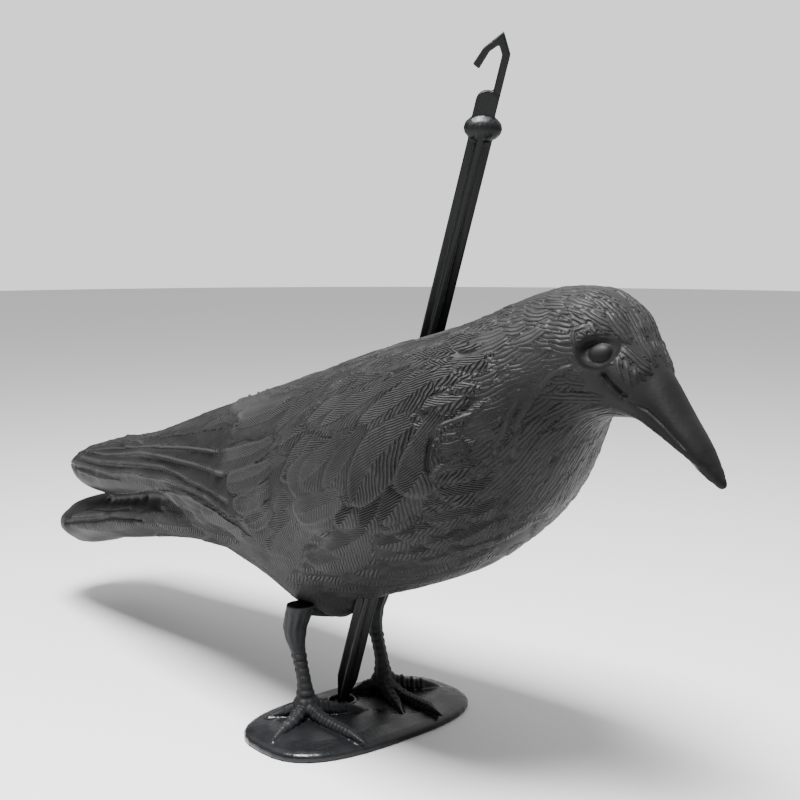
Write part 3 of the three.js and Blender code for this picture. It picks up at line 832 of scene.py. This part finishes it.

# Blow-moulded polyethylene, dull charcoal with a soft sheen and paler patches of wear at random. The
# relief that stands proud and the barbs' crests are painted paler, a painted highlight, and the bill
# and the eye are painted nearly black, painted shade. The finest barbs are pressed into it across
# each feather, with a hard ridge along its middle, and fine strokes along each lock.
MATH = "ShaderNodeMath"
RANGE = "ShaderNodeMapRange"
NOISE = "ShaderNodeTexNoise"
MIX = "ShaderNodeMix"
ATTRIBUTE = "ShaderNodeAttribute"
TIMES = {"operation": "MULTIPLY"}
TIMES_PLUS = {"operation": "MULTIPLY_ADD"}
SINE = {"operation": "SINE"}
SIZE_OF = {"operation": "ABSOLUTE"}
SMOOTH = {"interpolation_type": "SMOOTHSTEP"}
COLOUR = {"data_type": "RGBA"}
DULL_CHARCOAL = "#181818"
WORN_AND_LIT_CHARCOAL = "#2a2a2a"
SHADED_CHARCOAL = "#0f0f0f"
BARB_DEPTH = 0.6 * MM
RIDGE_HEIGHT = 0.5 * MM
RIDGE_HALF_WIDTH = 0.8
COMB_PITCH = 1.6
COMB_DEPTH = 0.5 * MM
UPPER_VANE = 1.9
LOWER_VANE = 0.9
BARB_WOBBLE = 2.2
COMB_WOBBLE = 1.6
GRAIN_DEPTH = 0.06 * MM
BARB_HIGHLIGHT = 0.25
PATCH_WEAR = 1.2
# Patches of each pattern's noise in 100 mm of plastic. The mould's grain, finer in truth than this,
# is as coarse as it needs to be to show.
PER_100_MM = 1 / (100 * MM)
WOBBLE = 22 * PER_100_MM
FADING = 11 * PER_100_MM
WEAR = 4.5 * PER_100_MM
GRAIN = 90 * PER_100_MM


def linear(hex_colour):
    """An sRGB hex colour as linear red, green, blue and alpha."""
    parts = [int(hex_colour[i:i + 2], 16) / 255 for i in (1, 3, 5)]
    return [c / 12.92 if c < 0.04045 else ((c + 0.055) / 1.055) ** 2.4 for c in parts] + [1.0]


def add_node(tree, kind, settings=None, **links):
    """A shader node with its settings. A link is a socket, by its name or by _ and its number, and
    what it takes: a value, another socket, or a node for that node's first output."""
    node = tree.nodes.new(kind)
    for name, value in (settings or {}).items():
        setattr(node, name, value)
    for name, value in links.items():
        socket = node.inputs[int(name[1:]) if name[1:].isdigit() else name.replace("_", " ")]
        if isinstance(value, bpy.types.Node):
            value = value.outputs[0]
        if isinstance(value, bpy.types.NodeSocket):
            tree.links.new(value, socket)
        else:
            socket.default_value = value
    return node


def moulded_plastic(name, specular):
    """A new material with its node tree and its shader."""
    material = bpy.data.materials.new(name)
    material.use_nodes = True
    shader = material.node_tree.nodes["Principled BSDF"]
    shader.inputs["Specular IOR Level"].default_value = specular
    return material, material.node_tree, shader


shell_plastic, tree, shader = moulded_plastic("moulded_polyethylene", 0.1)
plan_map = add_node(tree, "ShaderNodeUVMap", {"uv_map": "feather_plan"})
split = add_node(tree, "ShaderNodeSeparateXYZ", _0=plan_map)
width_from_shaft = add_node(tree, MATH, SIZE_OF, _0=split)
lower = add_node(tree, MATH, {"operation": "GREATER_THAN"}, _0=split, _1=0.0)
slope = add_node(tree, RANGE, Value=lower, To_Min=UPPER_VANE, To_Max=LOWER_VANE)
sweep = add_node(tree, MATH, TIMES, _0=width_from_shaft, _1=slope)
lag = add_node(tree, MATH, {"operation": "SUBTRACT"}, _0=split.outputs[1], _1=sweep)
coordinate = add_node(tree, "ShaderNodeTexCoord").outputs["Object"]
wobble = add_node(tree, NOISE, _0=coordinate, Scale=WOBBLE, Detail=2.0)
shake = add_node(tree, MATH, TIMES_PLUS, _0=wobble, _1=BARB_WOBBLE, _2=lag)
phase = add_node(tree, MATH, TIMES, _0=shake, _1=math.pi / BARB_PITCH)
swing = add_node(tree, MATH, SINE, _0=phase)
wave = add_node(tree, MATH, SIZE_OF, _0=swing)
barb_value = add_node(tree, ATTRIBUTE, {"attribute_name": "barbs"}).outputs["Fac"]
fading = add_node(tree, NOISE, _0=coordinate, Scale=FADING, Detail=1.0)
faded = add_node(tree, RANGE, Value=fading, From_Min=0.38, From_Max=0.58, To_Min=0.65, To_Max=1.2)
strength = add_node(tree, MATH, TIMES, _0=barb_value, _1=faded)
cut = add_node(tree, MATH, TIMES, _0=wave, _1=strength)
cut_depth = add_node(tree, MATH, TIMES, _0=cut, _1=BARB_DEPTH)
ridge_form = add_node(tree, RANGE, SMOOTH, Value=width_from_shaft, From_Max=RIDGE_HALF_WIDTH,
                      To_Min=RIDGE_HEIGHT, To_Max=0.0)
ridge_value = add_node(tree, ATTRIBUTE, {"attribute_name": "ridge"}).outputs["Fac"]
ridged = add_node(tree, MATH, TIMES_PLUS, _0=ridge_form, _1=ridge_value, _2=cut_depth)
comb_shake = add_node(tree, MATH, TIMES_PLUS, _0=wobble, _1=COMB_WOBBLE, _2=split)
comb_phase = add_node(tree, MATH, TIMES, _0=comb_shake, _1=math.pi / COMB_PITCH)
comb_swing = add_node(tree, MATH, SINE, _0=comb_phase)
comb_round = add_node(tree, MATH, SIZE_OF, _0=comb_swing)
comb_wave = add_node(tree, MATH, {"operation": "POWER"}, _0=comb_round, _1=0.5)
comb_value = add_node(tree, ATTRIBUTE, {"attribute_name": "comb"}).outputs["Fac"]
comb_strength = add_node(tree, MATH, TIMES, _0=comb_value, _1=faded)
comb_cut = add_node(tree, MATH, TIMES, _0=comb_wave, _1=comb_strength)
fine_height = add_node(tree, MATH, TIMES_PLUS, _0=comb_cut, _1=COMB_DEPTH, _2=ridged)
grain = add_node(tree, NOISE, _0=coordinate, Scale=GRAIN, Detail=3.0)
grained = add_node(tree, MATH, TIMES_PLUS, _0=grain, _1=GRAIN_DEPTH, _2=fine_height)
bump = add_node(tree, "ShaderNodeBump", Strength=1.0, Distance=1.0, Height=grained)
tree.links.new(bump.outputs[0], shader.inputs["Normal"])
# Painted highlight: the relief that stands proud and the barbs' crests are painted paler; noise patches of
# wear add to it.
highlit_relief = add_node(tree, ATTRIBUTE, {"attribute_name": "highlit_relief"}).outputs["Fac"]
painted_highlight = add_node(tree, MATH, TIMES_PLUS, _0=cut, _1=BARB_HIGHLIGHT, _2=highlit_relief)
patches = add_node(tree, NOISE, _0=coordinate, Scale=WEAR, Detail=5.0)
wear_and_highlight = add_node(tree, MATH, TIMES_PLUS, _0=patches, _1=PATCH_WEAR, _2=painted_highlight)
worn_and_lit = add_node(tree, RANGE, SMOOTH, Value=wear_and_highlight, From_Min=0.2, From_Max=1.5)
tone = add_node(tree, MIX, COLOUR, _0=worn_and_lit, _6=linear(DULL_CHARCOAL), _7=linear(WORN_AND_LIT_CHARCOAL))
# Painted shade: the bill and the eye's ball and hollow are painted nearly black.
bare = add_node(tree, ATTRIBUTE, {"attribute_name": "bare"}).outputs["Fac"]
bare_tone = add_node(tree, MIX, COLOUR, _0=bare, _6=tone.outputs[2], _7=linear(SHADED_CHARCOAL))
tree.links.new(bare_tone.outputs[2], shader.inputs["Base Color"])
sheen = add_node(tree, RANGE, Value=patches, From_Min=0.3, From_Max=0.7, To_Min=0.55, To_Max=0.42)
tree.links.new(sheen.outputs[0], shader.inputs["Roughness"])


def finish_in(piece, material):
    """Gives a piece its one material."""
    piece.data.materials.clear()
    piece.data.materials.append(material)


finish_in(body, shell_plastic)
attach(body, "root")
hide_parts("bird_body")


# Legs and base
# One injection-moulded piece: an oblong plate with two scaled legs, ribbed toes and the strip that
# is let into the belly. The plate has a hole with a low collar for the rod.
STAND_GRAIN = 0.55 * MM
STAND_ROUNDS = 8
THIGH_ROUNDS = 60
EASED_ABOVE = 31
EASED_FADE = 3
LEG_SIDE = 20.5
LEG_AXIS = ((3, -9), (13, -9.2), (19, -10.1), (25, -12), (31, -14), (38, -16.2), (46, -13.4))
SHANK_FROM = 8.5
SHANK_TO = 33
SHANK_FADE = 2
THIGH_TO = 48
THIGH_FADE = 4
SCUTE_TURN = math.radians(-35)
SCUTE_FROM = 9
SCUTE_PITCH = 2.8
SCUTE_EDGE = 0.6
SCUTE_LIFT = 0.15
FRONT_LIFT = 0.25
FRONT_REACH = math.radians(52)
FRONT_FADE = 0.2
GROOVE_TURN = math.radians(55)
GROOVE_WIDTH = 0.16
GROOVE_DEPTH = 0.25
FLUTES = 11
FLUTE_DEPTH = 0.12
FLUTE_TWIST = 0.15
stand = copied_solid("legs_and_base", "legs_on_base")
stand_skin = even_skin(stand, STAND_GRAIN)
relax(stand_skin, STAND_ROUNDS)
relax(stand_skin, THIGH_ROUNDS, rising(corner_points(stand_skin)[:, 2:] / MM, EASED_ABOVE, EASED_FADE))
points = corner_points(stand_skin) / MM
x, y, z = points.T
leg_axis = np.interp(z, *zip(*LEG_AXIS))

# Each toe is given by its turn from the bill's way and its length. It has cross ribs with a fine line
# down their middle, and ends in a smooth claw. Toes stand above the plate's top.
TOE_LINES = {
    -1: ((-1, 38), (60, 24.5), (-64, 28.5), (-120, 16)),
    1: ((-1, 38), (60, 24.5), (-24, 28.5), (-120, 16)),
}
TOE_LEVELS = (5.4, 14)
TOE_HALF_WIDTH = 3.8
TOE_FROM = 3
TOE_FADE = 2
TOE_SWELL = 0.35
TOE_RIB_HEIGHT = 0.32
TOE_RIB_PITCH = 2.1
TOE_LINE_DEPTH = 0.25
TOE_LINE_WIDTH = 0.5
CLAW_LENGTH = 7
carving = np.zeros(len(points))
for side in (-1, 1):
    own = side * y > 0
    forward, sideways = x - leg_axis, y - side * LEG_SIDE
    angle = np.arctan2(sideways, forward) - SCUTE_TURN
    shank = own & (z > SHANK_FROM) & (z < SHANK_TO)
    shank_fade = rising(z, SHANK_FROM, SHANK_FADE) * falling(z, SHANK_TO, SHANK_FADE)
    front = falling(np.abs(angle), FRONT_REACH, FRONT_FADE)
    joint = np.abs(((z - SCUTE_FROM) / SCUTE_PITCH) % 1 - 0.5) * SCUTE_PITCH
    scute = (SCUTE_LIFT + FRONT_LIFT * front) * rising(joint, 0, SCUTE_EDGE)
    side_groove = -GROOVE_DEPTH * np.exp(-((np.abs(angle) - GROOVE_TURN) / GROOVE_WIDTH) ** 2)
    carving += shank * shank_fade * (scute + side_groove)
    thigh = own & (z > SHANK_TO) & (z < THIGH_TO)
    flutes = np.cos(FLUTES * angle + FLUTE_TWIST * z)
    carving += FLUTE_DEPTH * thigh * rising(z, SHANK_TO, THIGH_FADE) * flutes
    for turn, length in TOE_LINES[side]:
        ahead = math.cos(math.radians(turn)), math.sin(math.radians(turn))
        along = forward * ahead[0] + sideways * ahead[1]
        across = sideways * ahead[0] - forward * ahead[1]
        toe = own & (np.abs(across) < TOE_HALF_WIDTH) & (along > TOE_FROM)
        toe &= (z > TOE_LEVELS[0]) & (z < TOE_LEVELS[1])
        fade = rising(along, TOE_FROM, TOE_FADE) * falling(along, length - CLAW_LENGTH, TOE_FADE)
        ribs = TOE_RIB_HEIGHT * np.cos(2 * np.pi * along / TOE_RIB_PITCH) + TOE_SWELL
        ribs -= TOE_LINE_DEPTH * np.exp(-(across / TOE_LINE_WIDTH) ** 2)
        carving = np.where(toe, ribs * fade, carving)

# The underside stays flat.
UNDERSIDE = 0.4
shaped = points + normals_of(stand_skin) * carving[:, None]
shaped[z < UNDERSIDE] = points[z < UNDERSIDE]
stand_skin.vertices.foreach_set("co", (shaped * MM).ravel())
stand_skin.update()
stand_skin.shade_smooth()

# Injection-moulded polyethylene, near black and fairly glossy, with faint flow marks and handling
# scuffs that dull it in patches. Above the plate's top, on toes and legs, it is duller. The scuffs'
# pits are as coarse as they need to be to show.
DEEP_BLACK = "#0e0f10"
FLOWN_BLACK = "#1a1b1d"
GLOSSY_BELOW = 5.5 * MM
DULL_ABOVE = 7.5 * MM
PIT_DEPTH = 0.12 * MM
FLOW = 9 * PER_100_MM
SCUFFS = 70 * PER_100_MM
stand_plastic, tree, shader = moulded_plastic("injected_polyethylene", 0.3)
coordinate = add_node(tree, "ShaderNodeTexCoord").outputs["Object"]
flow = add_node(tree, NOISE, _0=coordinate, Scale=FLOW, Detail=6.0)
scuffs = add_node(tree, NOISE, _0=coordinate, Scale=SCUFFS, Detail=4.0)
tone = add_node(tree, MIX, COLOUR, _0=flow, _6=linear(DEEP_BLACK), _7=linear(FLOWN_BLACK))
tree.links.new(tone.outputs[2], shader.inputs["Base Color"])
sheen = add_node(tree, RANGE, Value=flow, From_Min=0.4, From_Max=0.62, To_Min=0.2, To_Max=0.38)
level = add_node(tree, "ShaderNodeSeparateXYZ", _0=coordinate)
dulled = add_node(tree, RANGE, Value=level.outputs[2], From_Min=GLOSSY_BELOW, From_Max=DULL_ABOVE,
                  To_Min=sheen, To_Max=0.6)
tree.links.new(dulled.outputs[0], shader.inputs["Roughness"])
pits = add_node(tree, MATH, TIMES, _0=scuffs, _1=PIT_DEPTH)
bump = add_node(tree, "ShaderNodeBump", Strength=1.0, Distance=1.0, Height=pits)
tree.links.new(bump.outputs[0], shader.inputs["Normal"])
finish_in(stand, stand_plastic)
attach(stand, "root")
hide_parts("legs_and_base")


# Hooked rod
# One injection-moulded rod with a cross-shaped section, a blunt point below and an oval stop, a
# round-topped tab and a flat hook above. It slides down through the bird's back into the base.
ROD_GRAIN = 0.42 * MM
ROD_ROUNDS = 6
rod = copied_solid("stake_rod", "hooked_rod")
rod_skin = even_skin(rod, ROD_GRAIN)
relax(rod_skin, ROD_ROUNDS)
rod_skin.shade_smooth()

# The same black plastic, satin, with drag marks that run along the rod. They are finer in truth, and
# as coarse here as they need to be to show.
SATIN_BLACK = "#0b0c0d"
ROD_LEAN = math.radians(19.26)
MARK_STRETCH = (1.0, 1.0, 0.03)
MARK_DEPTH = 0.12 * MM
MARKS = 120 * PER_100_MM
rod_plastic, tree, shader = moulded_plastic("satin_polyethylene", 0.22)
shader.inputs["Base Color"].default_value = linear(SATIN_BLACK)
coordinate = add_node(tree, "ShaderNodeTexCoord").outputs["Object"]
upright = add_node(tree, "ShaderNodeVectorRotate", {"rotation_type": "Y_AXIS"}, _0=coordinate,
                   Angle=-ROD_LEAN)
drawn = add_node(tree, "ShaderNodeVectorMath", TIMES, _0=upright, _1=MARK_STRETCH)
marks = add_node(tree, NOISE, _0=drawn, Scale=MARKS, Detail=4.0)
sheen = add_node(tree, RANGE, Value=marks, From_Min=0.3, From_Max=0.7, To_Min=0.34, To_Max=0.48)
tree.links.new(sheen.outputs[0], shader.inputs["Roughness"])
depth = add_node(tree, MATH, TIMES, _0=marks, _1=MARK_DEPTH)
bump = add_node(tree, "ShaderNodeBump", Strength=1.0, Distance=1.0, Height=depth)
tree.links.new(bump.outputs[0], shader.inputs["Normal"])
finish_in(rod, rod_plastic)
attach(rod, "root")
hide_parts("stake_rod")


# Floor, light and camera
# The decoy stands on a pale sheet in soft studio light, seen from the photograph's place.
FLOOR_SIDES = 96
FLOOR_RADIUS = 3.0
PALE_PAPER = "#cecece"
PAPER_ROUGHNESS = 0.9
floor_mesh = bpy.data.meshes.new("floor")
floor_form = bmesh.new()
bmesh.ops.create_circle(floor_form, cap_ends=True, segments=FLOOR_SIDES, radius=FLOOR_RADIUS)
floor_form.to_mesh(floor_mesh)
floor_form.free()
floor = bpy.data.objects.new("floor", floor_mesh)
bpy.context.scene.collection.objects.link(floor)
paper = bpy.data.materials.new("white_paper")
paper.use_nodes = True
shader = paper.node_tree.nodes["Principled BSDF"]
shader.inputs["Base Color"].default_value = linear(PALE_PAPER)
shader.inputs["Roughness"].default_value = PAPER_ROUGHNESS
floor_mesh.materials.append(paper)
floor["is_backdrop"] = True

# The room: a white backdrop, and a soft dome of light that is brightest overhead and behind the bird.
DOME_TOP = (0.0, 0.4, 0.9)
LOW_GLOW = 0.1
HIGH_GLOW = 1.4
BACKDROP = 1.3
WHITE_LIGHT = "#ffffff"
world = bpy.data.worlds.new("studio")
world.use_nodes = True
room = world.node_tree
heading = add_node(room, "ShaderNodeTexCoord")
facing = add_node(room, "ShaderNodeVectorMath", {"operation": "DOT_PRODUCT"},
                  _0=heading.outputs["Generated"], _1=DOME_TOP)
glow = add_node(room, RANGE, SMOOTH, Value=facing.outputs["Value"], From_Min=0.1, From_Max=0.95,
                To_Min=LOW_GLOW, To_Max=HIGH_GLOW)
path = add_node(room, "ShaderNodeLightPath")
seen = add_node(room, RANGE, Value=path.outputs["Is Camera Ray"], To_Min=glow, To_Max=BACKDROP)
room.nodes["Background"].inputs["Color"].default_value = linear(WHITE_LIGHT)
room.links.new(seen.outputs[0], room.nodes["Background"].inputs["Strength"])
bpy.context.scene.world = world

# One square soft box high on the right of the bird, turned to its back.
BOX_PLACE = (0.1, -0.22, 0.78)
BOX_AIM = (0.07, 0, 0.1)
BOX_SIZE = 0.3
BOX_POWER = 32
lamp = bpy.data.lights.new("top_light", "AREA")
lamp.shape = "SQUARE"
lamp.size = BOX_SIZE
lamp.energy = BOX_POWER
soft_box = bpy.data.objects.new("top_light", lamp)
soft_box.location = BOX_PLACE
soft_box.rotation_euler = (Vector(BOX_AIM) - Vector(BOX_PLACE)).to_track_quat("-Z", "Y").to_euler()
bpy.context.scene.collection.objects.link(soft_box)

# The camera looks down on the bird's right side from ahead.
CAMERA_PLACE = (0.39484, -0.32218, 0.20771)
CAMERA_DIP = 8.366
CAMERA_HEADING = 48.91
CAMERA_LENS = 58.5
camera_data = bpy.data.cameras.new("camera")
camera_data.lens = CAMERA_LENS
camera = bpy.data.objects.new("camera", camera_data)
camera.location = CAMERA_PLACE
camera.rotation_euler = (math.radians(90 - CAMERA_DIP), 0, math.radians(CAMERA_HEADING))
bpy.context.scene.collection.objects.link(camera)
bpy.context.scene.camera = camera

sizes = {"cad": [list(corner) for corner in cad_box], "visual": [list(corner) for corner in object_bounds()]}
